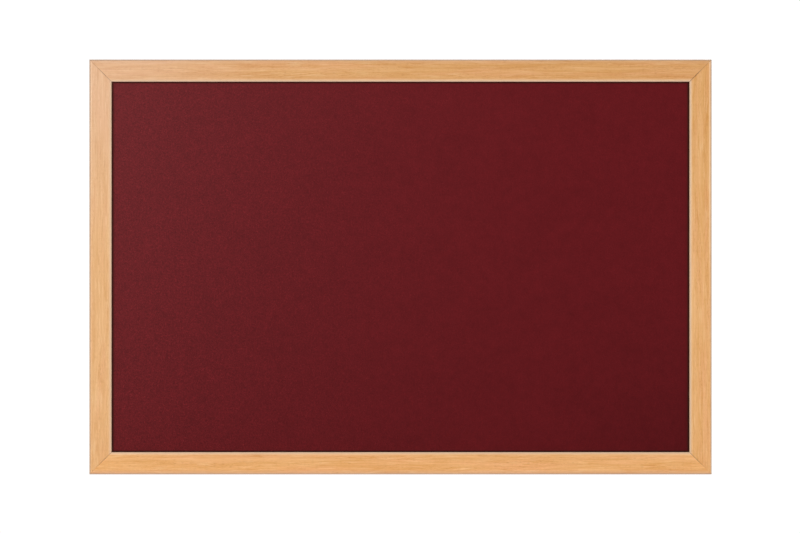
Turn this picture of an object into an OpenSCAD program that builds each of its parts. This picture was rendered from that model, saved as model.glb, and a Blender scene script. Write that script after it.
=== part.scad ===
// Framed, felt-covered cork bulletin board, wall hung, landscape or portrait.
// Millimetres. +X right, +Z up, the pinning face looks along -Y.
// The origin is the middle of the wall plane: the wall is y = 0 and the whole board is at y < 0.

/* [Board] */
// Overall width of the framed board
board_w = 900; // [600:10:1500]
// Overall height of the framed board
board_h = 600; // [450:10:1200]

/* [Frame] */
// Face width of each frame rail
rail_w = 32; // [30:1:45]
// Front to back depth of each frame rail; a thick panel makes it deeper
rail_depth = 18; // [17:0.5:24]
// How far the rail's front lip covers the panel
lip_w = 6.5; // [5:0.5:8]
// Thickness of the front lip, which is how deep the panel face sits
lip_t = 6; // [5.5:0.5:8]
// Radius of the rail's outer front edge
outer_r = 2.5; // [1:0.5:4]
// Radius of the rail's inner front edge, next to the panel
inner_r = 3.5; // [3:0.5:5]
// Gap left by the glue line on each side of a mitre
mitre_gap = 0.05; // [0.02:0.01:0.2]

/* [Panel] */
// Thickness of the felt face
felt_t = 1.2; // [0.8:0.1:2]
// Thickness of the cork pinning sheet
cork_t = 3; // [2:0.5:4]
// Thickness of the softboard core
core_t = 4; // [3:0.5:5]
// Thickness of the hardboard back
back_t = 2; // [1.5:0.5:2.5]
// Clearance between the panel's edge and the rebate
panel_gap = 1; // [0.5:0.5:2]

/* [Fixings] */
// Target distance between the flat points that hold the panel in
point_pitch = 125; // [90:5:200]
// Thickness of a flat point
point_t = 0.5; // [0.4:0.1:0.6]
// Leg length of a mitre V nail
nail_leg = 4.5; // [3:0.5:5]
// Driven depth of a mitre V nail
nail_depth = 10; // [6:1:12]

/* [Hangers] */
// Distance from the board's end to a hanger's hinge line
hanger_inset = 100; // [80:5:140]
// Wire radius of a hanger ring
wire_r = 1.1; // [1:0.1:1.2]
// Half width of a ring, measured to the middle of its wire
ring_half_w = 8.5; // [8:0.5:9]
// Straight leg length of a ring, before its round end
ring_leg = 2; // [1:0.5:3]
// Sheet thickness of a hanger strap
strap_t = 0.8; // [0.6:0.1:0.8]
// Width of a hanger strap
strap_w = 10; // [9:0.5:11]
// Length of a hanger strap from its hinge line
strap_len = 37; // [36:1:40]

/* [Wall bumpers] */
// Radius of a rubber bumper
bumper_r = 6; // [5:0.5:8]
// Thickness of a rubber bumper, which is the gap behind the frame
bumper_t = 5; // [4.5:0.5:8]
// Distance from the board's top or bottom edge to a bumper's middle
bumper_inset = 46; // [42:1:54]

/* [Hidden] */
$fn = 64;
eps = 0.01;
back_y = -bumper_t;                     // the frame's back face
depth = max(rail_depth, lip_t + felt_t + cork_t + core_t + back_t + point_t + 0.5);
front_y = back_y - depth;               // the frame's front face
felt_y = front_y + lip_t;               // the felt's front face
cork_y = felt_y + felt_t;
core_y = cork_y + cork_t;
board_y = core_y + core_t;
panel_back_y = board_y + back_t;        // the hardboard's back face, where the points lie
solid_w = rail_w - lip_w;               // width of the rail behind its lip
pocket_w = board_w - 2 * solid_w;       // the rebate's opening
pocket_h = board_h - 2 * solid_w;
panel_w = pocket_w - 2 * panel_gap;
panel_h = pocket_h - 2 * panel_gap;
eye_clear = 0.1;                        // ring wire to strap eye
eye_ri = wire_r + eye_clear;
eye_ro = eye_ri + strap_t;
layer_gap = 0.1;                        // between the strap's two layers
strap_top = -eye_ro + 2 * strap_t + layer_gap;
ring_bend_r = 2;                        // bend at each end of the ring's straight bar
ring_reach = ring_bend_r + ring_leg + ring_half_w;   // hinge line to the far wire's middle
ring_lean = asin((eye_ro - wire_r - 0.1) / ring_reach); // the ring lies back until its wire is 0.1 off the frame
screw_at = [20, 31];                    // screw distances from the hinge line
screw_r = 1.4;
screw_len = 11;
head_r = 2.9;
head_h = 1.7;
point_w = 5;
point_in = 6;                           // length of a point inside the rail
point_out = 9.5;                        // length of a point over the hardboard

// A hanger's place: [hinge x, hinge z, turn about Y]. The ring points to local +Z.
side_x = board_w / 2 - solid_w / 2;
rail_z = board_h / 2 - solid_w / 2;
hang_y = back_y + eye_ro;
HANG_LEFT = [-side_x, board_h / 2 - hanger_inset, 0];
HANG_RIGHT = [side_x, board_h / 2 - hanger_inset, 0];
HANG_TOP = [-board_w / 2 + hanger_inset, rail_z, -90];
HANG_BOTTOM = [-board_w / 2 + hanger_inset, -rail_z, -90];
HANGERS = [HANG_LEFT, HANG_RIGHT, HANG_TOP, HANG_BOTTOM];

oak = [0.88, 0.68, 0.45];
burgundy = [0.38, 0.11, 0.13];
cork_brown = [0.72, 0.55, 0.36];
softboard = [0.66, 0.56, 0.42];
hardboard = [0.42, 0.29, 0.18];
zinc = [0.74, 0.76, 0.78];
rubber = [0.16, 0.16, 0.17];

// ---------------------------------------------------------------- frame

// A rail's section, as (y, z): the back face is y = 0 and the outer edge is z = 0.
module rail_section() {
    difference() {
        translate([-depth, -rail_w]) square([depth, rail_w]);
        // rebate that holds the panel
        translate([-depth + lip_t, -rail_w - eps]) square([depth, lip_w + eps]);
        // rounded outer front edge
        translate([-depth + outer_r, -outer_r]) difference() {
            translate([-outer_r - eps, 0]) square([outer_r + eps, outer_r + eps]);
            circle(outer_r);
        }
        // rounded inner front edge
        translate([-depth + inner_r, -rail_w + inner_r]) difference() {
            translate([-inner_r - eps, -inner_r - eps]) square([inner_r + eps, inner_r + eps]);
            circle(inner_r);
        }
    }
}

// A rail of the given length along X with both ends mitred.
module rail_blank(length) {
    big = 4 * rail_w;
    difference() {
        translate([-length / 2, 0, 0]) rotate([90, 0, 90]) linear_extrude(length) rail_section();
        for (s = [-1, 1])
            translate([s * (length / 2 - mitre_gap * sqrt(2)), 0, 0])
                rotate([0, s * 45, 0])
                    translate([s > 0 ? 0 : -big, -big / 2, -big / 2]) cube([big, big, big]);
    }
}

module frame_rail_top() {
    color(oak) difference() {
        translate([0, back_y, board_h / 2]) rail_blank(board_w);
        mitre_cuts(-1, 1);
        mitre_cuts(1, 1);
        panel_points(0);
        hanger_pilots(HANG_TOP);
    }
}

module frame_rail_bottom() {
    color(oak) difference() {
        translate([0, back_y, -board_h / 2]) rotate([0, 180, 0]) rail_blank(board_w);
        mitre_cuts(-1, -1);
        mitre_cuts(1, -1);
        panel_points(180);
        hanger_pilots(HANG_BOTTOM);
    }
}

module frame_stile_left() {
    color(oak) difference() {
        translate([-board_w / 2, back_y, 0]) rotate([0, -90, 0]) rail_blank(board_h);
        mitre_cuts(-1, -1);
        mitre_cuts(-1, 1);
        panel_points(-90);
        hanger_pilots(HANG_LEFT);
    }
}

module frame_stile_right() {
    color(oak) difference() {
        translate([board_w / 2, back_y, 0]) rotate([0, 90, 0]) rail_blank(board_h);
        mitre_cuts(1, -1);
        mitre_cuts(1, 1);
        panel_points(90);
        hanger_pilots(HANG_RIGHT);
    }
}

// ---------------------------------------------------------------- mitre nails

nail_t = 0.5;
nail_sink = 0.4;
NAIL_AT = [10, 19];                     // from the board's outer corner, along each edge

// One V nail seen from behind: its apex is on the mitre, and its legs run along the two rails.
module v_nail(depth, sx, sz) {
    h = nail_t / 2;
    rotate([90, 0, 0]) linear_extrude(depth)
        scale_signs(sx, sz)
            polygon([[-h, -h], [nail_leg, -h], [nail_leg, h], [h, h], [h, nail_leg], [-h, nail_leg]]);
}

module scale_signs(sx, sz) {
    mirror([sx < 0 ? 1 : 0, 0]) mirror([0, sz < 0 ? 1 : 0]) children();
}

module mitre_nails(sx, sz) {
    color(zinc) for (d = NAIL_AT)
        translate([sx * (board_w / 2 - d), back_y - nail_sink, sz * (board_h / 2 - d)])
            v_nail(nail_depth, sx, sz);
}

// The saw-fine slots that the nails cut for themselves, open to the back.
module mitre_cuts(sx, sz) {
    for (d = NAIL_AT)
        translate([sx * (board_w / 2 - d), back_y + 1, sz * (board_h / 2 - d)])
            v_nail(nail_depth + nail_sink + 1, sx, sz);
}

// ---------------------------------------------------------------- panel

module panel_layer(y, thickness) {
    translate([-panel_w / 2, y, -panel_h / 2]) cube([panel_w, thickness, panel_h]);
}

module felt_face() { color(burgundy) panel_layer(felt_y, felt_t); }
module cork_sheet() { color(cork_brown) panel_layer(cork_y, cork_t); }
module softboard_core() { color(softboard) panel_layer(core_y, core_t); }
module hardboard_back() { color(hardboard) panel_layer(board_y, back_t); }

// Flat steel points, driven sideways into a rail so that they lie on the hardboard.
module panel_point() {
    rotate([90, 0, 0]) translate([0, 0, -point_t]) linear_extrude(point_t) polygon([
        [-point_w / 2, 0], [-point_w / 2 + 0.8, point_in - 2.6], [0, point_in], [point_w / 2 - 0.8, point_in - 2.6],
        [point_w / 2, 0], [point_w / 2, -point_out + 1.5], [point_w / 2 - 1.2, -point_out],
        [-point_w / 2 + 1.2, -point_out], [-point_w / 2, -point_out + 1.5]
    ]);
}

// The row of points along the rail that faces the given turn about Y: 0 is the top.
module panel_points(turn) {
    across = (turn == 0 || turn == 180) ? board_w : board_h;
    out = ((turn == 0 || turn == 180) ? board_h : board_w) / 2 - solid_w;
    run = across - 2 * (solid_w + 55);
    n = max(2, round(run / point_pitch));
    color(zinc) rotate([0, turn, 0]) for (i = [0:n])
        translate([-run / 2 + i * run / n, panel_back_y, out]) panel_point();
}

// ---------------------------------------------------------------- hangers

module place_hanger(at) {
    translate([at[0], hang_y, at[1]]) rotate([0, at[2], 0]) children();
}

// A strap's sections, as (y, z): a strip folded round the ring's bar, with both layers back on the frame.
module strap_fold_section() {
    difference() {
        union() {
            circle(eye_ro);
            translate([-eye_ro, -strap_len]) square([2 * eye_ro, strap_len]);
        }
        circle(eye_ri);
        translate([-eye_ri, -strap_len - 1]) square([2 * eye_ri, strap_len + 1]);
        translate([0, -strap_len - 1]) square([eye_ro + 1, strap_len]);
    }
}

// The outer layer slopes down to lie on the inner one.
module strap_outer_section() {
    ramp = 5;
    polygon([
        [eye_ri, -0.5], [eye_ro, -0.5], [eye_ro, -1.2], [strap_top, -1.2 - ramp], [strap_top, -strap_len],
        [strap_top - strap_t, -strap_len], [strap_top - strap_t, -1.2 - ramp], [eye_ri, -1.2]
    ]);
}

module strap_plan() {
    translate([-strap_w / 2, -strap_len + strap_w / 2]) square([strap_w, strap_len - strap_w / 2 + eye_ro + 1]);
    translate([0, -strap_len + strap_w / 2]) circle(strap_w / 2);
}

module hanger_strap(at) {
    color(zinc) place_hanger(at) difference() {
        intersection() {
            translate([-strap_w / 2 - 1, 0, 0]) rotate([90, 0, 90]) union() {
                linear_extrude(strap_w + 2) strap_fold_section();
                linear_extrude(strap_w + 2) strap_outer_section();
            }
            translate([0, eye_ro + 1, 0]) rotate([90, 0, 0]) linear_extrude(2 * eye_ro + 2) strap_plan();
        }
        for (d = screw_at)
            translate([0, eye_ro + 1, -d]) rotate([90, 0, 0]) cylinder(h = 2 * eye_ro + 2, r = screw_r + 0.2);
    }
}

// A D ring: straight bar in the strap's eye, two bends, two short legs and a round end.
module hanger_ring(at) {
    legs_z = ring_bend_r + ring_leg;
    color(zinc) place_hanger(at) rotate([ring_lean, 0, 0]) union() {
        bar = 2 * (ring_half_w - ring_bend_r);
        translate([-bar / 2, 0, 0]) rotate([0, 90, 0]) cylinder(h = bar, r = wire_r);
        for (s = [-1, 1]) {
            translate([s * (ring_half_w - ring_bend_r), 0, ring_bend_r]) rotate([90, 0, 0])
                rotate([0, 0, s > 0 ? -90 : 180]) rotate_extrude(angle = 90) translate([ring_bend_r, 0]) circle(wire_r);
            translate([s * ring_half_w, 0, ring_bend_r]) cylinder(h = ring_leg, r = wire_r);
        }
        translate([0, 0, legs_z]) rotate([90, 0, 0]) rotate_extrude(angle = 180) translate([ring_half_w, 0]) circle(wire_r);
    }
}

// A pan-head screw along -Y, with its head's underside at y = 0 and a cross recess.
module screw() {
    dome = (head_r * head_r + head_h * head_h) / (2 * head_h) + 0.6;
    rotate([90, 0, 0]) {
        cylinder(h = screw_len - 3, r = screw_r);
        translate([0, 0, screw_len - 3]) cylinder(h = 3, r1 = screw_r, r2 = 0.2);
    }
    difference() {
        intersection() {
            rotate([-90, 0, 0]) cylinder(h = head_h, r = head_r);
            translate([0, head_h - dome, 0]) sphere(dome);
        }
        for (a = [0, 90]) rotate([0, a + 20, 0])
            translate([-1.7, head_h - 1, -0.35]) cube([3.4, 2, 0.7]);
    }
}

module hanger_screws(at) {
    color(zinc) place_hanger(at) for (d = screw_at) translate([0, strap_top, -d]) screw();
}

// Pilot holes in the frame, the same shape as the driven screws.
module hanger_pilots(at) {
    place_hanger(at) for (d = screw_at) translate([0, strap_top, -d]) rotate([90, 0, 0]) {
        cylinder(h = screw_len - 3, r = screw_r);
        translate([0, 0, screw_len - 3]) cylinder(h = 3, r1 = screw_r, r2 = 0.2);
    }
}

// ---------------------------------------------------------------- wall bumpers

module bumper(sx, sz) {
    round_r = 1.5;
    color(rubber) translate([sx * side_x, back_y, sz * (board_h / 2 - bumper_inset)])
        rotate([-90, 0, 0]) rotate_extrude() difference() {
            square([bumper_r, bumper_t]);
            translate([bumper_r - round_r, bumper_t - round_r]) difference() {
                square([round_r + eps, round_r + eps]);
                circle(round_r);
            }
        }
}

// ---------------------------------------------------------------- nodes

frame_rail_top();
frame_rail_bottom();
frame_stile_left();
frame_stile_right();
felt_face();
cork_sheet();
softboard_core();
hardboard_back();
mitre_nails(-1, 1);  // mitre_nails_top_left
mitre_nails(1, 1);  // mitre_nails_top_right
mitre_nails(-1, -1);  // mitre_nails_bottom_left
mitre_nails(1, -1);  // mitre_nails_bottom_right
panel_points(0);  // panel_points_top
panel_points(180);  // panel_points_bottom
panel_points(-90);  // panel_points_left
panel_points(90);  // panel_points_right
hanger_strap(HANG_LEFT);  // hanger_strap_left
hanger_strap(HANG_RIGHT);  // hanger_strap_right
hanger_strap(HANG_TOP);  // hanger_strap_top
hanger_strap(HANG_BOTTOM);  // hanger_strap_bottom
hanger_ring(HANG_LEFT);  // hanger_ring_left
hanger_ring(HANG_RIGHT);  // hanger_ring_right
hanger_ring(HANG_TOP);  // hanger_ring_top
hanger_ring(HANG_BOTTOM);  // hanger_ring_bottom
hanger_screws(HANG_LEFT);  // hanger_screws_left
hanger_screws(HANG_RIGHT);  // hanger_screws_right
hanger_screws(HANG_TOP);  // hanger_screws_top
hanger_screws(HANG_BOTTOM);  // hanger_screws_bottom
bumper(-1, 1);  // bumper_top_left
bumper(1, 1);  // bumper_top_right
bumper(-1, -1);  // bumper_bottom_left
bumper(1, -1);  // bumper_bottom_right
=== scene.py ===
import math

import bpy
import bmesh
import numpy as np
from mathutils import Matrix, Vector


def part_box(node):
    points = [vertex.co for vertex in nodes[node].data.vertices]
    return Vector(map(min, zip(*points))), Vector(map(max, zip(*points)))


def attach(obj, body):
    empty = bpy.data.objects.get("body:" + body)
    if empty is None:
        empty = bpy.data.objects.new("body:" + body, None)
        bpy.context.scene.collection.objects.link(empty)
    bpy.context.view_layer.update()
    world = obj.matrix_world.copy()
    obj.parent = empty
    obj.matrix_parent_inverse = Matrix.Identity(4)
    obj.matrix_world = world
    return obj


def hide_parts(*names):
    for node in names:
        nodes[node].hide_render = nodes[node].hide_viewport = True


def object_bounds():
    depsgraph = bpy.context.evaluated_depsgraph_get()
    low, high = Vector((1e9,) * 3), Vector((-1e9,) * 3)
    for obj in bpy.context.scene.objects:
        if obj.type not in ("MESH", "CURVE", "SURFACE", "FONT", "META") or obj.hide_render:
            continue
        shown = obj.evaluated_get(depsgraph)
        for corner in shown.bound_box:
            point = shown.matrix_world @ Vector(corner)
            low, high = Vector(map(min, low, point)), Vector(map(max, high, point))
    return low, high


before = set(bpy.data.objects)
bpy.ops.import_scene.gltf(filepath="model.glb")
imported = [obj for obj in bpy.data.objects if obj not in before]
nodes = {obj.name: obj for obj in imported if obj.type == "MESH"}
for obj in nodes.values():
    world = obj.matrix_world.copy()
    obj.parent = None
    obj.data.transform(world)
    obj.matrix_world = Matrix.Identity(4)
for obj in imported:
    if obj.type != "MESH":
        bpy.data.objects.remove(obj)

# Looks for the framed felt pin board. Metres, in the CAD frame: +X right, +Z up, the face looks along -Y.
CAD_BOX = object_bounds()
MM = 0.001
scene = bpy.context.scene


def v3(*mm):
    return Vector([c * MM for c in mm])


# ------------------------------------------------------------------ sizes, all read from the frame

top_lo, top_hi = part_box("frame_rail_top")
left_lo, left_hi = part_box("frame_stile_left")
felt_lo, felt_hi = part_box("felt_face")
board_lo, board_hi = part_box("hardboard_back")
HALF_W = -left_lo.x                         # outer half width and height
HALF_H = top_hi.z
RAIL_W = top_hi.z - top_lo.z                # face width of a rail
BACK_Y = top_hi.y                           # the frame's back face
FRONT_Y = top_lo.y                          # the frame's front face
FELT_Y = felt_lo.y                          # the felt's front face, which the lip touches
OPEN_W = HALF_W - RAIL_W                    # half size of the opening
OPEN_H = HALF_H - RAIL_W
LIP_W = 6.5 * MM
SOLID_W = RAIL_W - LIP_W
OUTER_R = 2.5 * MM
INNER_R = 3.5 * MM
FOIL_BACK = 6.5 * MM                        # how far the foil turns onto the back


def srgb(r, g, b):
    """An 8-bit sRGB colour as linear RGBA."""
    def lin(c):
        c /= 255.0
        return c / 12.92 if c <= 0.04045 else ((c + 0.055) / 1.055) ** 2.4
    return (lin(r), lin(g), lin(b), 1.0)


# ------------------------------------------------------------------ material graphs


class Graph:
    """A node material under construction."""

    def __init__(self, name):
        self.mat = bpy.data.materials.new(name)
        self.mat.use_nodes = True
        self.nt = self.mat.node_tree
        self.nt.nodes.clear()
        self.out = self.node("ShaderNodeOutputMaterial")
        self.bsdf = self.node("ShaderNodeBsdfPrincipled")
        self.nt.links.new(self.bsdf.outputs["BSDF"], self.out.inputs["Surface"])
        self._geo = None

    def node(self, kind, **props):
        n = self.nt.nodes.new(kind)
        for k, v in props.items():
            setattr(n, k, v)
        return n

    def put(self, socket, value):
        if isinstance(value, bpy.types.NodeSocket):
            self.nt.links.new(value, socket)
        else:
            socket.default_value = value

    def math(self, op, a, b=0.0, clamp=False):
        n = self.node("ShaderNodeMath", operation=op, use_clamp=clamp)
        self.put(n.inputs[0], a)
        self.put(n.inputs[1], b)
        return n.outputs[0]

    def add(self, a, b):
        return self.math("ADD", a, b)

    def sub(self, a, b):
        return self.math("SUBTRACT", a, b)

    def mul(self, a, b):
        return self.math("MULTIPLY", a, b)

    def fit(self, value, lo, hi, out_lo=0.0, out_hi=1.0, smooth=False):
        n = self.node("ShaderNodeMapRange", interpolation_type="SMOOTHSTEP" if smooth else "LINEAR", clamp=True)
        self.put(n.inputs["Value"], value)
        self.put(n.inputs["From Min"], lo)
        self.put(n.inputs["From Max"], hi)
        self.put(n.inputs["To Min"], out_lo)
        self.put(n.inputs["To Max"], out_hi)
        return n.outputs["Result"]

    def mix(self, fac, a, b, blend="MIX"):
        n = self.node("ShaderNodeMix", data_type="RGBA", blend_type=blend, clamp_factor=True)
        self.put(n.inputs[0], fac)
        self.put(n.inputs[6], a)
        self.put(n.inputs[7], b)
        return n.outputs[2]

    def shade(self, colour, factor):
        """A colour times a grey factor."""
        n = self.node("ShaderNodeVectorMath", operation="SCALE")
        self.put(n.inputs[0], colour)
        self.put(n.inputs["Scale"], factor)
        return n.outputs[0]

    def grain(self, colour, amount):
        """A colour moved along the oak's own scale: darker marks are also deeper in hue."""
        one = self.add(amount, 1.0)
        less = self.add(self.mul(amount, 0.5), 1.0)
        more = self.add(self.mul(amount, 2.4), 1.0)
        n = self.node("ShaderNodeVectorMath", operation="MULTIPLY")
        self.put(n.inputs[0], colour)
        self.put(n.inputs[1], self.vec(less, one, more))
        return n.outputs[0]

    def ramp(self, fac, *stops):
        n = self.node("ShaderNodeValToRGB")
        el = n.color_ramp.elements
        while len(el) < len(stops):
            el.new(0.5)
        for e, (pos, colour) in zip(el, stops):
            e.position = pos
            e.color = colour
        self.put(n.inputs[0], fac)
        return n.outputs[0]

    def vec(self, x, y, z):
        n = self.node("ShaderNodeCombineXYZ")
        for s, v in zip(n.inputs, (x, y, z)):
            self.put(s, v)
        return n.outputs[0]

    def split(self, vector):
        n = self.node("ShaderNodeSeparateXYZ")
        self.put(n.inputs[0], vector)
        return n.outputs[0], n.outputs[1], n.outputs[2]

    def object_xyz(self):
        n = self.node("ShaderNodeTexCoord")
        return n.outputs["Object"]

    def uv(self, name):
        n = self.node("ShaderNodeUVMap", uv_map=name)
        return n.outputs[0]

    def noise(self, vector, scale=1.0, detail=2.0, rough=0.5, distort=0.0):
        n = self.node("ShaderNodeTexNoise", noise_dimensions="3D")
        self.put(n.inputs["Vector"], vector)
        self.put(n.inputs["Scale"], scale)
        self.put(n.inputs["Detail"], detail)
        self.put(n.inputs["Roughness"], rough)
        self.put(n.inputs["Distortion"], distort)
        return n.outputs["Fac"]

    def voronoi(self, vector, scale, feature="F1", output="Distance", jitter=1.0):
        n = self.node("ShaderNodeTexVoronoi", feature=feature)
        self.put(n.inputs["Vector"], vector)
        self.put(n.inputs["Scale"], scale)
        self.put(n.inputs["Randomness"], jitter)
        return n.outputs[output]

    def turned(self, x, z, degrees, along, across, seed):
        """Coordinates in the XZ plane turned and stretched, for marks that run one way."""
        c, s = math.cos(math.radians(degrees)), math.sin(math.radians(degrees))
        a = self.add(self.mul(x, c), self.mul(z, s))
        b = self.sub(self.mul(z, c), self.mul(x, s))
        return self.vec(self.mul(a, along), self.mul(b, across), seed)

    def bump(self, height, distance, strength=1.0, normal=None):
        n = self.node("ShaderNodeBump")
        self.put(n.inputs["Height"], height)
        self.put(n.inputs["Distance"], distance)
        self.put(n.inputs["Strength"], strength)
        if normal is not None:
            self.put(n.inputs["Normal"], normal)
        return n.outputs[0]

    def bevel(self, radius, samples=4):
        n = self.node("ShaderNodeBevel", samples=samples)
        self.put(n.inputs["Radius"], radius)
        return n.outputs[0]

    def finish(self, **inputs):
        for k, v in inputs.items():
            self.put(self.bsdf.inputs[k.replace("_", " ")], v)
        return self.mat


def oak_foil(name, tone=(1.0, 1.0, 1.0), pale=0.0, painted_edge_highlight=None, painted_lean=(1.0, 1.0), edge_grey=0.0):
    """Pale oak print on satin foil. Its grain follows the foil round the section, through the foil UV map.
    Each length of foil differs a little, and tone multiplies its colour: partly that difference, partly painted light,
    the top rail painted darker and the bottom rail brighter.
    lean multiplies it from low to high as painted light, pale mixes in a paler painted wash standing in for reflected
    light, hem is how strong a painted highlight along the outer round is, low down and high up,
    and dull is how far the front face is mixed greyer towards the outer edge."""
    g = Graph(name)
    u, v, _ = g.split(g.uv("foil"))
    x, y, z = g.split(g.object_xyz())
    # the grain wanders slowly across the strip
    drift = g.sub(g.noise(g.vec(g.mul(u, 3.2), g.mul(v, 14.0), 0.0), detail=2.0), 0.5)
    curl = g.sub(g.noise(g.vec(g.mul(u, 15.0), g.mul(v, 70.0), 5.0), detail=2.0), 0.5)
    vv = g.add(v, g.add(g.mul(drift, 0.014), g.mul(curl, 0.0022)))
    broad = g.noise(g.vec(g.mul(u, 5.0), g.mul(vv, 125.0), 1.0), detail=3.0, rough=0.55)
    flow = g.noise(g.vec(g.mul(u, 2.6), g.mul(vv, 52.0), 21.0), detail=2.5, rough=0.45)
    mid = g.noise(g.vec(g.mul(u, 19.0), g.mul(vv, 400.0), 2.0), detail=3.0, rough=0.6)
    fine = g.noise(g.vec(g.mul(u, 60.0), g.mul(vv, 1500.0), 3.0), detail=3.0, rough=0.65)
    dash = g.noise(g.vec(g.mul(u, 30.0), g.mul(vv, 600.0), 6.0), detail=2.0, rough=0.5)
    pore = g.noise(g.vec(g.mul(u, 170.0), g.mul(vv, 3600.0), 4.0), detail=1.0)
    where = g.noise(g.vec(g.mul(u, 9.0), g.mul(vv, 150.0), 7.0), detail=1.0)
    tint = g.noise(g.vec(g.mul(u, 7.0), g.mul(vv, 75.0), 9.0), detail=2.0)
    fleck = g.noise(g.vec(g.mul(u, 30.0), g.mul(vv, 520.0), 12.0), detail=1.5)
    # growth rings: early wood darkens slowly towards late wood, then stops short
    ring = g.math("FRACT", g.add(g.mul(flow, 15.0), g.mul(fine, 0.22)))
    late = g.mul(g.fit(ring, 0.35, 0.90, smooth=True), g.fit(ring, 1.0, 0.93))
    late = g.mul(late, g.fit(where, 0.25, 0.60, 0.35, 1.0))
    colour = g.ramp(broad, (0.28, srgb(223, 161, 92)), (0.5, srgb(230, 172, 107)), (0.72, srgb(237, 182, 122)))
    colour = g.mix(g.mul(g.fit(tint, 0.45, 0.68), 0.48), colour, srgb(235, 168, 116))
    colour = g.mix(g.mul(late, 0.42), colour, srgb(214, 146, 62))
    colour = g.grain(colour, g.fit(mid, 0.25, 0.75, -0.075, 0.068))
    colour = g.grain(colour, g.fit(fine, 0.25, 0.75, -0.108, 0.096))
    dashes = g.mul(g.fit(dash, 0.55, 0.66, smooth=True), g.fit(where, 0.35, 0.58))
    colour = g.mix(g.mul(dashes, 0.44), colour, srgb(205, 132, 44))
    pores = g.mul(g.fit(pore, 0.56, 0.63, smooth=True), g.fit(where, 0.3, 0.65, 0.3, 1.0))
    colour = g.mix(g.mul(pores, 0.50), colour, srgb(184, 112, 30))
    colour = g.mix(g.mul(g.fit(fleck, 0.57, 0.70, smooth=True), 0.34), colour, srgb(246, 204, 152))
    colour = g.mix(1.0, colour, (*tone, 1.0), blend="MULTIPLY")
    colour = g.mix(pale, colour, srgb(243, 208, 174))
    # painted light: the stiles are painted darker towards the top and brighter towards the bottom, and a painted
    # highlight pales the top left corner
    colour = g.shade(colour, g.fit(z, -0.27, 0.27, painted_lean[0], painted_lean[1]))
    corner = g.fit(g.math("MAXIMUM", g.add(x, HALF_W), g.sub(HALF_H, z)), 0.04, 0.30, 1.0, 0.0, smooth=True)
    colour = g.mix(g.mul(corner, 0.22), colour, srgb(224, 180, 158))
    # distance in from the board's outer edge, and from the nearest mitre
    dx = g.sub(HALF_W, g.math("ABSOLUTE", x))
    dz = g.sub(HALF_H, g.math("ABSOLUTE", z))
    inward = g.math("MINIMUM", dx, dz)
    mitre = g.mul(g.math("ABSOLUTE", g.sub(dx, dz)), 0.7071)
    # painted reflection and highlight: the foil is painted paler over the inner round and paler still at its front edge
    # (brink); painted shade: a touch greyer over the outer round
    inner = g.fit(inward, RAIL_W - 5.2 * MM, RAIL_W - 1.2 * MM, smooth=True)
    colour = g.mix(g.mul(inner, 0.55), colour, srgb(240, 206, 170))
    face = g.fit(y, FRONT_Y + 1.6 * MM, FRONT_Y + 3.2 * MM, 1.0, 0.0, smooth=True)
    painted_highlight_brink = g.mul(g.fit(inward, RAIL_W - 2.4 * MM, RAIL_W - 0.3 * MM, smooth=True), face)
    colour = g.mix(g.mul(painted_highlight_brink, 0.75), colour, srgb(255, 229, 200))
    # painted highlight: a paler strip along the outer round, its strength given low down and high up
    if painted_edge_highlight is not None:
        painted_edge_highlight = g.fit(z, -0.10, 0.12, painted_edge_highlight[0], painted_edge_highlight[1], smooth=True)
        strip = g.mul(g.fit(inward, 1.7 * MM, 2.5 * MM, smooth=True), g.fit(inward, 4.3 * MM, 3.0 * MM, smooth=True))
        colour = g.mix(g.mul(strip, painted_edge_highlight), colour, srgb(250, 212, 172))
    # the front face is mixed greyer towards its outer edge, over the last 8 mm
    greyer_to_edge = g.mul(g.fit(inward, 8.0 * MM, 2.0 * MM, smooth=True), face)
    colour = g.mix(g.mul(greyer_to_edge, edge_grey), colour, srgb(205, 170, 150))
    # painted shade: the outer round is mixed greyer where it turns away from the light
    rim = g.fit(y, FRONT_Y + 0.8 * MM, FRONT_Y + 1.9 * MM, 1.0, 0.0, smooth=True)
    outer = g.mul(g.fit(inward, 2.5 * MM, 0.9 * MM, smooth=True), rim)
    colour = g.mix(g.mul(outer, 0.62), colour, srgb(195, 173, 157))
    # glue and shadow in the mitre: strongest at the inner corner, patchy, gone before the outer one
    along = g.noise(g.vec(g.mul(x, 60.0), g.mul(z, 60.0), 3.0), detail=2.0)
    line = g.fit(mitre, 0.60 * MM, 0.10 * MM, smooth=True)
    line = g.mul(line, g.fit(along, 0.3, 0.65, 0.40, 0.92))
    upper, right = g.fit(z, -0.01, 0.01), g.fit(x, -0.01, 0.01)
    reach = g.fit(upper, 0.0, 1.0, g.fit(inward, 11.0 * MM, 19.0 * MM, g.fit(right, 0.0, 1.0, 0.02, 0.12), 0.9),
                  g.fit(inward, 1.5 * MM, 20.0 * MM, 0.26, 1.0))
    open_joint = g.mul(g.mul(upper, right), g.fit(inward, 15.0 * MM, 23.0 * MM))
    line = g.mul(line, g.mul(reach, g.add(1.0, g.mul(open_joint, 0.6))))
    colour = g.mix(line, colour, srgb(118, 74, 42))
    rough = g.fit(mid, 0.2, 0.8, 0.37, 0.30)
    rough = g.add(rough, g.mul(pores, 0.18))
    relief = g.sub(g.mul(fine, 0.5), g.add(g.mul(pores, 1.0), g.mul(dashes, 0.25)))
    return g.finish(Base_Color=colour, Roughness=rough, IOR=1.48,
                    Normal=g.bump(relief, 0.00004, 0.16))


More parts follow.
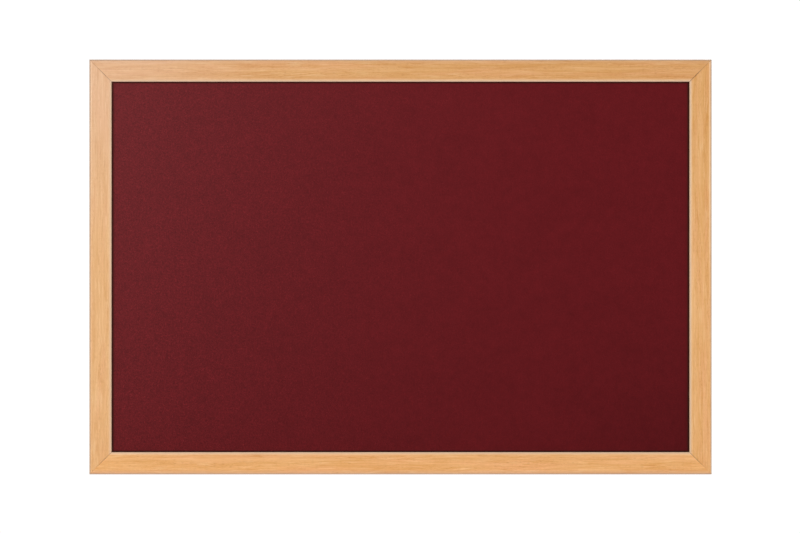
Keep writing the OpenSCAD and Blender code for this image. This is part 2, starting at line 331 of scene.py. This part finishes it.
def fibreboard():
    """Raw fibreboard: the frame's back, rebate and sawn ends."""
    g = Graph("fibreboard")
    p = g.object_xyz()
    x, y, z = g.split(p)
    fluff = g.noise(p, 900.0, detail=4.0, rough=0.7)
    speck = g.noise(p, 2600.0, detail=2.0)
    cloud = g.noise(p, 22.0, detail=2.0)
    colour = g.ramp(fluff, (0.3, srgb(150, 113, 76)), (0.5, srgb(174, 138, 98)), (0.7, srgb(194, 160, 120)))
    colour = g.mix(g.mul(g.fit(speck, 0.62, 0.75), 0.5), colour, srgb(112, 80, 50))
    colour = g.shade(colour, g.fit(cloud, 0.3, 0.7, 0.93, 1.05))
    return g.finish(Base_Color=colour, Roughness=g.fit(fluff, 0.3, 0.7, 0.92, 0.8), IOR=1.4,
                    Normal=g.bump(g.add(fluff, g.mul(speck, 0.4)), 0.00018, 0.7))


def felt():
    """Burgundy needle felt: short fibres lying every way, matt. Painted light across it: painted darker and flatter to
    the right, brighter and livelier to the left and top, where the key light falls.
    """
    g = Graph("burgundy_felt")
    x, y, z = g.split(g.object_xyz())
    wob = g.vec(g.mul(x, 120.0), g.mul(z, 120.0), 2.0)
    wx = g.add(x, g.mul(g.sub(g.noise(wob, 1.0, detail=2.0), 0.5), 0.006))
    wz = g.add(z, g.mul(g.sub(g.noise(g.vec(g.mul(z, 130.0), g.mul(x, 130.0), 8.0), 1.0, detail=2.0), 0.5), 0.006))
    strands = None
    for i, turn in enumerate((-38.0, 24.0, 81.0, -74.0, 3.0)):
        n = g.noise(g.turned(wx, wz, turn, 260.0, 2300.0, 3.0 * i), detail=2.0, rough=0.55)
        strands = n if strands is None else g.math("MAXIMUM", strands, n)
    coarse = None
    for i, turn in enumerate((-31.0, 42.0, 88.0)):
        n = g.noise(g.turned(wx, wz, turn, 90.0, 480.0, 20.0 + 3.0 * i), detail=2.0, rough=0.5)
        coarse = n if coarse is None else g.math("MAXIMUM", coarse, n)
    clump = g.noise(g.vec(x, z, 0.2), 330.0, detail=2.0, rough=0.6)
    tuft = g.noise(g.vec(x, z, 4.2), 520.0, detail=1.0, rough=0.5)
    cloud = g.noise(g.vec(x, z, 0.6), 26.0, detail=3.0, rough=0.55)
    mottle = g.noise(g.vec(x, z, 7.0), 78.0, detail=2.0, rough=0.6)
    # painted light: from the left, where the key light rakes across, to the right the felt is painted darker, flatter
    # and with less contrast in its texture
    painted_falloff = g.fit(x, -OPEN_W, OPEN_W)
    painted_raking_contrast = g.fit(painted_falloff, 0.0, 0.75, 1.0, 0.32, smooth=True)
    dark, body, light = srgb(88, 17, 22), srgb(114, 27, 32), srgb(150, 50, 55)
    colour = g.mix(g.fit(strands, 0.52, 0.74), dark, body)
    colour = g.mix(g.mul(g.fit(strands, 0.66, 0.80, smooth=True), 0.75), colour, light)
    texture = g.add(g.fit(coarse, 0.48, 0.72, -0.13, 0.13), g.fit(clump, 0.3, 0.7, -0.13, 0.13))
    texture = g.add(texture, g.add(g.fit(tuft, 0.56, 0.72, 0.0, 0.16), g.fit(tuft, 0.42, 0.28, 0.0, -0.16)))
    # painted shade: the right side mixed towards a darker, flatter red
    colour = g.mix(g.fit(painted_falloff, 0.1, 0.75, 0.0, 0.58, smooth=True), colour, srgb(102, 22, 27))
    colour = g.shade(colour, g.add(1.0, g.mul(texture, painted_raking_contrast)))
    colour = g.shade(colour, g.fit(cloud, 0.3, 0.7, 0.955, 1.04))
    colour = g.shade(colour, g.fit(mottle, 0.3, 0.7, 0.945, 1.055))
    # painted light: brighter towards the top and the left, a painted pale sheen in the top left corner, and painted
    # shade in the lower right corner
    height = g.fit(z, -OPEN_H, OPEN_H)
    painted_left_light = g.math("POWER", g.sub(1.0, painted_falloff), 2.2)
    colour = g.shade(colour, g.add(g.fit(height, 0.0, 1.0, 0.875, 0.99), g.mul(painted_left_light, 0.19)))
    corner = g.mul(g.math("POWER", g.sub(1.0, painted_falloff), 2.0), g.fit(height, 0.0, 1.0, 0.40, 1.0))
    colour = g.mix(g.mul(corner, 0.06), colour, srgb(178, 128, 128))
    painted_shade_low_right = g.mul(g.fit(painted_falloff, 0.75, 1.0), g.fit(height, 0.4, 0.0))
    colour = g.shade(colour, g.sub(1.0, g.mul(painted_shade_low_right, 0.17)))
    # painted shadow: the felt right against the frame is painted darker and browner, where the lip shades it and
    # presses it down
    ex = g.sub(OPEN_W, g.math("ABSOLUTE", x))
    ez = g.sub(OPEN_H, g.math("ABSOLUTE", z))
    painted_shadow_seam = g.math("MINIMUM", g.fit(ez, 0.2 * MM, 3.6 * MM, 0.38, 1.0, smooth=True),
                  g.fit(ex, 0.8 * MM, 5.2 * MM, 0.46, 1.0, smooth=True))
    colour = g.shade(colour, painted_shadow_seam)
    colour = g.mix(g.fit(painted_shadow_seam, 0.4, 0.9, 0.45, 0.0), colour, srgb(62, 40, 28))
    relief = g.add(g.mul(strands, 1.0), g.mul(clump, 0.8))
    return g.finish(Base_Color=colour, Roughness=0.95, IOR=1.2,
                    Sheen_Weight=0.06, Sheen_Roughness=0.4, Sheen_Tint=(1.0, 0.6, 0.6, 1.0),
                    Normal=g.bump(relief, 0.00035, 0.8))


def cork():
    g = Graph("cork_granules")
    p = g.object_xyz()
    cells = g.voronoi(p, 420.0, output="Color")
    edge = g.voronoi(p, 420.0, feature="DISTANCE_TO_EDGE")
    fine = g.noise(p, 1600.0, detail=3.0)
    tone, _, _ = g.split(cells)
    colour = g.ramp(tone, (0.0, srgb(120, 82, 48)), (0.3, srgb(172, 128, 82)), (0.7, srgb(196, 154, 104)), (1.0, srgb(214, 176, 126)))
    colour = g.shade(colour, g.fit(edge, 0.0, 0.12, 0.6, 1.0))
    colour = g.shade(colour, g.fit(fine, 0.3, 0.7, 0.9, 1.1))
    return g.finish(Base_Color=colour, Roughness=0.88, Normal=g.bump(g.add(edge, g.mul(fine, 0.2)), 0.0003, 0.6))


def softboard():
    g = Graph("softboard_fibres")
    p = g.object_xyz()
    x, y, z = g.split(p)
    strand = g.noise(g.vec(g.mul(x, 260.0), g.mul(y, 2600.0), g.mul(z, 260.0)), detail=4.0, rough=0.7)
    colour = g.ramp(strand, (0.3, srgb(136, 108, 72)), (0.55, srgb(172, 144, 104)), (0.75, srgb(198, 174, 134)))
    return g.finish(Base_Color=colour, Roughness=0.95, Normal=g.bump(strand, 0.0004, 0.8))


def hardboard():
    """Brown hardboard with the press screen's weave on the outside."""
    g = Graph("hardboard_screen")
    p = g.object_xyz()
    x, y, z = g.split(p)
    pitch = 1.5 * MM
    k = 2 * math.pi / pitch
    wob = g.mul(g.sub(g.noise(p, 60.0, detail=2.0), 0.5), 1.2)
    sx = g.math("SINE", g.add(g.mul(x, k), wob))
    sz = g.math("SINE", g.add(g.mul(z, k), wob))
    weave = g.fit(g.mul(sx, sz), -1.0, 1.0)
    fibre = g.noise(p, 700.0, detail=4.0, rough=0.7)
    bits = g.noise(g.vec(g.mul(x, 1.0), g.mul(y, 1.0), g.mul(z, 1.0)), 1900.0, detail=2.0)
    cloud = g.noise(p, 9.0, detail=3.0)
    colour = g.ramp(fibre, (0.3, srgb(92, 60, 36)), (0.5, srgb(120, 82, 51)), (0.72, srgb(149, 107, 70)))
    colour = g.shade(colour, g.fit(weave, 0.0, 1.0, 0.86, 1.06))
    colour = g.mix(g.mul(g.fit(bits, 0.64, 0.76), 0.6), colour, srgb(60, 38, 22))
    colour = g.shade(colour, g.fit(cloud, 0.3, 0.7, 0.92, 1.07))
    return g.finish(Base_Color=colour, Roughness=g.fit(fibre, 0.3, 0.7, 0.62, 0.78), IOR=1.45,
                    Normal=g.bump(g.add(g.mul(weave, 1.0), g.mul(fibre, 0.4)), 0.00022, 0.9))


def zinc(name="zinc_plate", base=(196, 199, 203), rough=(0.26, 0.42), edge=0.14):
    g = Graph(name)
    p = g.object_xyz()
    spangle = g.voronoi(p, 260.0, output="Color")
    tone, _, _ = g.split(spangle)
    haze = g.noise(p, 240.0, detail=3.0)
    grit = g.noise(p, 3800.0, detail=2.0)
    x, y, z = g.split(p)
    scratch = g.noise(g.turned(x, z, 17.0, 260.0, 9000.0, 4.0), detail=2.0)
    r, gg, b = base
    colour = g.ramp(haze, (0.3, srgb(r - 22, gg - 20, b - 16)), (0.55, srgb(r, gg, b)), (0.75, srgb(min(r + 14, 255), min(gg + 12, 255), b)))
    colour = g.shade(colour, g.fit(tone, 0.0, 1.0, 0.93, 1.04))
    roughness = g.add(g.fit(haze, 0.3, 0.7, rough[0], rough[1]), g.mul(g.fit(scratch, 0.55, 0.75), 0.14))
    return g.finish(Base_Color=colour, Metallic=1.0, Roughness=roughness,
                    Normal=g.bump(g.add(grit, g.mul(scratch, 0.6)), 0.000012, 0.6, g.bevel(edge * MM)))


def rubber():
    g = Graph("moulded_rubber")
    p = g.object_xyz()
    mottle = g.noise(p, 900.0, detail=4.0, rough=0.6)
    dust = g.noise(p, 3200.0, detail=2.0)
    colour = g.ramp(mottle, (0.3, srgb(34, 34, 36)), (0.7, srgb(52, 52, 54)))
    colour = g.mix(g.mul(g.fit(dust, 0.63, 0.74), 0.35), colour, srgb(120, 117, 112))
    return g.finish(Base_Color=colour, Roughness=g.fit(mottle, 0.3, 0.7, 0.55, 0.72), IOR=1.5,
                    Normal=g.bump(mottle, 0.00006, 0.6))


# painted light in the rail tones: the top rail is painted darker and the bottom rail brighter, beyond each length's own
# small difference; the stiles carry painted highlights, a painted wash and a painted low-to-high gradient
MAT = {
    "oak_top": oak_foil("oak_foil_top", (0.918, 0.907, 0.868), edge_grey=0.16), "oak_bottom": oak_foil("oak_foil_bottom", (1.105, 1.115, 1.085), edge_grey=0.32),
    "oak_left": oak_foil("oak_foil_left", (0.985, 1.00, 0.98), 0.09, (0.18, 0.24), (1.04, 0.95)),
    "oak_right": oak_foil("oak_foil_right", (1.00, 1.00, 0.95), 0.0, (0.08, 0.72), (1.03, 0.97)),
    "mdf": fibreboard(), "felt": felt(), "cork": cork(), "soft": softboard(),
    "hard": hardboard(), "zinc": zinc(), "rubber": rubber(),
    "steel": zinc("bright_steel", (178, 180, 184), (0.30, 0.48), 0.08),
    "screw": zinc("screw_zinc", (188, 190, 192), (0.24, 0.38), 0.1),
}


# ------------------------------------------------------------------ mesh helpers


def make_object(name, verts, faces, materials, face_slots=None):
    me = bpy.data.meshes.new(name)
    me.from_pydata([tuple(v) for v in verts], [], faces)
    for m in materials:
        me.materials.append(m)
    if face_slots is not None:
        me.polygons.foreach_set("material_index", np.array(face_slots, dtype=np.int32))
    ob = bpy.data.objects.new(name, me)
    scene.collection.objects.link(ob)
    return ob


def baked(ob):
    """Applies every modifier and keeps the result as the object's mesh."""
    dg = bpy.context.evaluated_depsgraph_get()
    me = bpy.data.meshes.new_from_object(ob.evaluated_get(dg), preserve_all_data_layers=True, depsgraph=dg)
    old = ob.data
    ob.modifiers.clear()
    ob.data = me
    if old.users == 0:
        bpy.data.meshes.remove(old)
    return ob


def arc(cx, cy, r, a0, a1, steps):
    """Points from angle a0 to a1, in degrees."""
    return [(cx + r * math.cos(math.radians(a0 + (a1 - a0) * i / steps)),
             cy + r * math.sin(math.radians(a0 + (a1 - a0) * i / steps))) for i in range(steps + 1)]


# ------------------------------------------------------------------ frame rails


def rail_path():
    """The rail's section as (d, y): d runs in from the outer edge. Also each segment's slot: 0 foil, 1 fibreboard."""
    e = 0.35 * MM
    w, s = RAIL_W, SOLID_W
    lip_y = FELT_Y - 0.02 * MM
    pts = []
    pts += [(FOIL_BACK, BACK_Y)]
    pts += arc(e, BACK_Y - e, e, 90, 180, 3)                       # back outer corner
    pts += arc(OUTER_R, FRONT_Y + OUTER_R, OUTER_R, 180, 270, 10)   # outer front round
    pts += arc(w - INNER_R, FRONT_Y + INNER_R, INNER_R, -90, 0, 18)  # inner front round
    pts += arc(w - e, lip_y - e, e, 0, 90, 3)                      # lip's lower corner
    foil_end = len(pts)
    pts += [(s + 0.6 * MM, lip_y), (s, lip_y), (s, BACK_Y - e)]      # under the lip, up the rebate
    pts += arc(s - e, BACK_Y - e, e, 0, 90, 3)[1:]
    slots = [0 if i < foil_end else 1 for i in range(len(pts))]
    slots[-1] = 1
    return pts, slots


def offset_path(pts, by):
    """The closed path moved inwards by a small amount."""
    out = []
    n = len(pts)
    area = sum(pts[i][0] * pts[(i + 1) % n][1] - pts[(i + 1) % n][0] * pts[i][1] for i in range(n))
    side = 1.0 if area > 0 else -1.0
    for i in range(n):
        a, b, c = (Vector(pts[i - 1]), Vector(pts[i]), Vector(pts[(i + 1) % n]))
        d1, d2 = (b - a).normalized(), (c - b).normalized()
        n1, n2 = Vector((-d1.y, d1.x)) * side, Vector((-d2.y, d2.x)) * side
        m = n1 + n2
        m = m / max(m.dot(n1), 0.35) if m.length > 1e-9 else n1
        out.append(tuple(b + m * by))
    return out


def nail_cutters():
    """Shallow V slots, a hair wider than the nails that lie in them."""
    verts, faces = [], []
    for corner in ("top_left", "top_right", "bottom_left", "bottom_right"):
        sx = 1 if "right" in corner else -1
        sz = 1 if "top" in corner else -1
        for d in (10 * MM, 19 * MM):
            cx, cz = sx * (HALF_W - d), sz * (HALF_H - d)
            h, leg = 0.33 * MM, 4.58 * MM
            poly = [(-h, -h), (leg, -h), (leg, h), (h, h), (h, leg), (-h, leg)]
            n = len(verts)
            for y in (BACK_Y + 0.5 * MM, BACK_Y - 2.0 * MM):
                verts += [(cx + sx * a, y, cz + sz * b) for a, b in poly]
            k = len(poly)
            loop = list(range(n, n + k))
            faces.append(loop[::-1])
            faces.append([i + k for i in loop])
            for i in range(k):
                j = (i + 1) % k
                faces.append([n + i, n + j, n + k + j, n + k + i])
    ob = make_object("nail_slot_cutter", verts, faces, [MAT["mdf"]])
    bm = bmesh.new()
    bm.from_mesh(ob.data)
    bmesh.ops.recalc_face_normals(bm, faces=bm.faces)
    bm.to_mesh(ob.data)
    bm.free()
    return ob


def build_rail(name, axis, inward, half, across, seed, cutter, foil):
    """axis and inward are unit vectors, half is half the rail's outer length, across is the outer edge's distance from the middle."""
    pts, slots = rail_path()
    n = len(pts)
    gap = 0.03 * MM * math.sqrt(2)
    bevel = 0.09 * MM
    small = offset_path(pts, bevel)
    length = [0.0]
    for i in range(n):
        a, b = Vector(pts[i]), Vector(pts[(i + 1) % n])
        length.append(length[-1] + (b - a).length)
    base = -inward * across
    rings = []
    # ring: (path, pull back from the mitre, end sign, fraction of the length)
    spans = np.linspace(-1.0, 1.0, 13)
    order = []
    order.append((small, 0.0, -1.0))
    for t in spans:
        order.append((pts, bevel, t))
    order.append((small, 0.0, 1.0))
    verts, uvs = [], []
    for path, pull, t in order:
        ring = []
        for d, y in path:
            reach = half - d - gap - pull
            along = t * reach
            verts.append(base + inward * d + axis * along + Vector((0, y, 0)))
            ring.append(along)
        rings.append(ring)
    faces, face_slots, loops_uv = [], [], []
    for r in range(len(order) - 1):
        for i in range(n):
            j = (i + 1) % n
            faces.append([r * n + i, r * n + j, (r + 1) * n + j, (r + 1) * n + i])
            face_slots.append(slots[i] if 0 < r < len(order) - 2 else 1 if slots[i] else 0)
            loops_uv.append([(rings[r][i], length[i]), (rings[r][j], length[i + 1]),
                             (rings[r + 1][j], length[i + 1]), (rings[r + 1][i], length[i])])
    last = (len(order) - 1) * n
    faces.append(list(range(n))[::-1])
    faces.append([last + i for i in range(n)])
    face_slots += [1, 1]
    loops_uv += [[(0.0, 0.0)] * n, [(0.0, 0.0)] * n]
    ob = make_object(name, verts, faces, [MAT[foil], MAT["mdf"]], face_slots)
    me = ob.data
    layer = me.uv_layers.new(name="foil")
    du, dv = 2.37 * seed, 0.173 * seed
    flat = [(u + du, v + dv) for loop in loops_uv for u, v in loop]
    layer.data.foreach_set("uv", np.array(flat, dtype=np.float32).ravel())
    bm = bmesh.new()
    bm.from_mesh(me)
    bmesh.ops.recalc_face_normals(bm, faces=bm.faces)
    bm.to_mesh(me)
    bm.free()
    cut = ob.modifiers.new("nail_slots", "BOOLEAN")
    cut.operation = "DIFFERENCE"
    cut.solver = "EXACT"
    cut.object = cutter
    baked(ob)
    me = ob.data
    me.polygons.foreach_set("use_smooth", np.ones(len(me.polygons), dtype=bool))
    me.set_sharp_from_angle(angle=math.radians(32))
    w = ob.modifiers.new("weighted", "WEIGHTED_NORMAL")
    w.keep_sharp = True
    w.mode = "FACE_AREA"
    baked(ob)
    return ob


X, Y, Z = Vector((1, 0, 0)), Vector((0, 1, 0)), Vector((0, 0, 1))
cutter = nail_cutters()
RAILS = [
    ("rail_top", "frame_rail_top", X, -Z, HALF_W, HALF_H, 1),
    ("rail_bottom", "frame_rail_bottom", X, Z, HALF_W, HALF_H, 9),
    ("stile_left", "frame_stile_left", Z, X, HALF_H, HALF_W, 3),
    ("stile_right", "frame_stile_right", Z, -X, HALF_H, HALF_W, 4),
]
for name, node, axis, inward, half, across, seed in RAILS:
    ob = build_rail(name, axis, inward, half, across, seed, cutter, "oak_" + node.split("_")[-1])
    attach(ob, "board")
    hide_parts(node)
bpy.data.objects.remove(cutter)


# ------------------------------------------------------------------ felt face


def field(rng, nx, nz, step, length_x, length_z=None):
    """Smooth random heights on an even grid, with a standard deviation of 1. Lengths are the feature size in metres."""
    length_z = length_z or length_x
    white = rng.standard_normal((nz, nx))
    fx = np.fft.fftfreq(nx, d=step)
    fz = np.fft.fftfreq(nz, d=step)
    gauss = np.exp(-((fx[None, :] * length_x) ** 2 + (fz[:, None] * length_z) ** 2) * 2.2)
    out = np.fft.ifft2(np.fft.fft2(white) * gauss).real
    return (out - out.mean()) / out.std()


def sample(grid, step, x0, z0, xs, zs):
    """Bilinear samples of an even grid."""
    fx = np.clip((xs - x0) / step, 0, grid.shape[1] - 1.001)
    fz = np.clip((zs - z0) / step, 0, grid.shape[0] - 1.001)
    ix, iz = fx.astype(int), fz.astype(int)
    tx, tz = fx - ix, fz - iz
    a = grid[np.ix_(iz, ix)] * (1 - tx) + grid[np.ix_(iz, ix + 1)] * tx
    b = grid[np.ix_(iz + 1, ix)] * (1 - tx) + grid[np.ix_(iz + 1, ix + 1)] * tx
    return a * (1 - tz)[:, None] + b * tz[:, None]


def lines(half_open, half_full, step):
    """Grid lines along one side: close together at the frame, even between."""
    near = [-0.9, -0.35, 0.0, 0.3, 0.65, 1.05, 1.6, 2.3, 3.2]
    edge = [half_open - e * MM for e in near]
    inner = half_open - 4.4 * MM
    count = int(round(2 * inner / step))
    middle = np.linspace(-inner, inner, count + 1)
    right = sorted([half_full, half_open + 3.2 * MM] + edge)
    return np.concatenate([-np.array(right[::-1]), middle, np.array(right)])


def build_felt():
    step = 2.42 * MM
    half_w, half_h = felt_hi.x, felt_hi.z
    xs, zs = lines(OPEN_W, half_w, step), lines(OPEN_H, half_h, step)
    rng = np.random.default_rng(4127)
    g = 1.2 * MM
    x0, z0 = -half_w - 6 * g, -half_h - 6 * g
    gx, gz = int(2 * -x0 / g) + 2, int(2 * -z0 / g) + 2
    height = (0.055 * MM * field(rng, gx, gz, g, 0.11)
              + 0.030 * MM * field(rng, gx, gz, g, 0.028)
              + 0.030 * MM * field(rng, gx, gz, g, 0.009)
              + 0.026 * MM * field(rng, gx, gz, g, 0.0048))
    h = sample(height, g, x0, z0, xs, zs)
    ex = OPEN_W - np.abs(xs)
    ez = OPEN_H - np.abs(zs)
    e = np.minimum(ex[None, :], ez[:, None])
    # the felt rises a little in the middle, dips where the frame presses it, and is held flat under the lip
    crown = 0.22 * MM * np.clip(e / (14 * MM), 0, 1) ** 0.6
    dip = 0.62 * MM * np.exp(-((e - 0.25 * MM) / (1.25 * MM)) ** 2) * (e > -0.5 * MM)
    free = np.clip(e / (3.0 * MM), 0, 1)
    y = FELT_Y - crown + dip - h * free
    y = np.where(e <= -0.5 * MM, FELT_Y + 0.03 * MM, y)
    y = np.minimum(y, FELT_Y + 0.75 * MM)
    nx, nz = len(xs), len(zs)
    grid = np.stack([np.broadcast_to(xs[None, :], (nz, nx)), y, np.broadcast_to(zs[:, None], (nz, nx))], -1)
    verts = [tuple(v) for v in grid.reshape(-1, 3)]
    idx = np.arange(nx * nz).reshape(nz, nx)
    quads = np.stack([idx[:-1, :-1], idx[:-1, 1:], idx[1:, 1:], idx[1:, :-1]], -1).reshape(-1, 4)
    faces = quads.tolist()
    rim = np.concatenate([idx[0, :-1], idx[:-1, -1], idx[-1, :0:-1], idx[:0:-1, 0]]).tolist()
    base = len(verts)
    back = felt_hi.y
    verts += [(verts[i][0], back, verts[i][2]) for i in rim]
    k = len(rim)
    for i in range(k):
        j = (i + 1) % k
        faces.append([rim[j], rim[i], base + i, base + j])
    faces.append([base + k - 1 - i for i in range(k)])
    ob = make_object("felt_cloth", verts, faces, [MAT["felt"]])
    bm = bmesh.new()
    bm.from_mesh(ob.data)
    bmesh.ops.recalc_face_normals(bm, faces=bm.faces)
    bm.to_mesh(ob.data)
    bm.free()
    me = ob.data
    me.polygons.foreach_set("use_smooth", np.ones(len(me.polygons), dtype=bool))
    me.set_sharp_from_angle(angle=math.radians(60))
    return ob


cloth = build_felt()
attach(cloth, "board")
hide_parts("felt_face")


# ------------------------------------------------------------------ carried-over CAD nodes


def dress(node, material):
    me = nodes[node].data
    me.materials.clear()
    me.materials.append(material)


for n in nodes:
    if n.startswith("mitre_nails") or n.startswith("panel_points"):
        dress(n, MAT["steel"])
    elif n.startswith("hanger_strap") or n.startswith("hanger_ring"):
        dress(n, MAT["zinc"])
    elif n.startswith("hanger_screws"):
        dress(n, MAT["screw"])
    elif n.startswith("bumper"):
        dress(n, MAT["rubber"])
dress("cork_sheet", MAT["cork"])
dress("softboard_core", MAT["soft"])
dress("hardboard_back", MAT["hard"])


# ------------------------------------------------------------------ stage, light and camera


def floor_material():
    """Pale studio floor. It fades into the white surround far out, and where the camera only grazes it."""
    g = Graph("studio_floor")
    p = g.object_xyz()
    x, y, z = g.split(p)
    n = g.noise(p, 3.0, detail=2.0)
    colour = g.ramp(n, (0.3, (0.86, 0.86, 0.86, 1)), (0.7, (0.89, 0.89, 0.89, 1)))
    g.finish(Base_Color=colour, Roughness=0.9, IOR=1.3, Emission_Color=(1, 1, 1, 1), Emission_Strength=0.12)
    geo = g.node("ShaderNodeNewGeometry")
    _, _, up = g.split(geo.outputs["Incoming"])
    path = g.node("ShaderNodeLightPath")
    graze = g.fit(g.math("ABSOLUTE", up), 0.10, 0.24, 1.0, 0.0, smooth=True)
    graze = g.mul(graze, path.outputs["Is Camera Ray"])
    white = g.node("ShaderNodeEmission")
    white.inputs["Strength"].default_value = 1.05
    m1 = g.node("ShaderNodeMixShader")
    g.put(m1.inputs[0], graze)
    g.put(m1.inputs[1], g.bsdf.outputs[0])
    g.put(m1.inputs[2], white.outputs[0])
    far = g.math("SQRT", g.add(g.mul(x, x), g.mul(y, y)))
    far = g.fit(far, 1.1, 2.3, smooth=True)
    clear = g.node("ShaderNodeBsdfTransparent")
    m2 = g.node("ShaderNodeMixShader")
    g.put(m2.inputs[0], far)
    g.put(m2.inputs[1], m1.outputs[0])
    g.put(m2.inputs[2], clear.outputs[0])
    g.nt.links.new(m2.outputs[0], g.out.inputs["Surface"])
    return g.mat


S = 4.0
floor = make_object("studio_floor", [(-S, -S, 0), (S, -S, 0), (S, S, 0), (-S, S, 0)], [[0, 1, 2, 3]], [floor_material()])
floor.location.z = CAD_BOX[0].z - 0.4 * MM


def area(name, at, aim, size, power, colour=(1, 1, 1), size_y=None):
    light = bpy.data.lights.new(name, "AREA")
    light.shape = "RECTANGLE"
    light.size = size
    light.size_y = size_y or size
    light.energy = power
    light.color = colour
    ob = bpy.data.objects.new(name, light)
    ob.location = at
    ob.rotation_mode = "QUATERNION"
    ob.rotation_quaternion = (Vector(aim) - Vector(at)).to_track_quat("-Z", "Y")
    scene.collection.objects.link(ob)
    return ob


area("key_upper_left", (-1.11, -2.5, 0.90), (0.0, 0.0, 0.0), 0.8, 15.5, (0.97, 0.985, 1.0))
area("glint_upper_left", (-0.72, -2.5, 0.50), (-0.45, 0.0, 0.30), 0.3, 6.0, (0.94, 0.97, 1.0))
area("fill_right", (1.9, -2.4, 0.2), (0.0, 0.0, -0.05), 1.6, 10.0, (1.0, 0.99, 0.97))
area("low_front", (0.1, -2.0, -0.16), (0.0, 0.0, -0.25), 2.0, 5.0, (1.0, 0.985, 0.96), 0.22)
area("back_soft", (1.2, 2.4, 1.3), (0.0, 0.0, 0.0), 1.6, 25.0, (1.0, 1.0, 1.0))

world = bpy.data.worlds.new("studio")
scene.world = world
world.use_nodes = True
wn = world.node_tree
wn.nodes.clear()
w_out = wn.nodes.new("ShaderNodeOutputWorld")
w_mix = wn.nodes.new("ShaderNodeMixShader")
w_seen = wn.nodes.new("ShaderNodeBackground")
w_lit = wn.nodes.new("ShaderNodeBackground")
w_path = wn.nodes.new("ShaderNodeLightPath")
w_seen.inputs["Color"].default_value = (1, 1, 1, 1)
w_seen.inputs["Strength"].default_value = 1.05
w_lit.inputs["Color"].default_value = (0.985, 0.99, 1.0, 1)
w_lit.inputs["Strength"].default_value = 0.49
wn.links.new(w_path.outputs["Is Camera Ray"], w_mix.inputs[0])
wn.links.new(w_lit.outputs[0], w_mix.inputs[1])
wn.links.new(w_seen.outputs[0], w_mix.inputs[2])
wn.links.new(w_mix.outputs[0], w_out.inputs["Surface"])

scene.view_settings.view_transform = "Standard"
scene.view_settings.look = "None"
scene.view_settings.exposure = 0.0
scene.view_settings.gamma = 1.0

cam_data = bpy.data.cameras.new("camera")
cam_data.lens = 150.0
cam_data.sensor_width = 36.0
cam = bpy.data.objects.new("camera", cam_data)
# square on to the board, at the distance that makes it 622 of the 800 pixels wide
FIELD = 2 * HALF_W * 800.0 / 622.5
DIST = FIELD * cam_data.lens / cam_data.sensor_width
cam.location = (0.0, FRONT_Y - DIST, 0.0)
cam.rotation_euler = (math.radians(90), 0, 0)
cam_data.shift_x = -0.5 / 800.0
cam_data.shift_y = 0.45 / 800.0
scene.collection.objects.link(cam)
scene.camera = cam
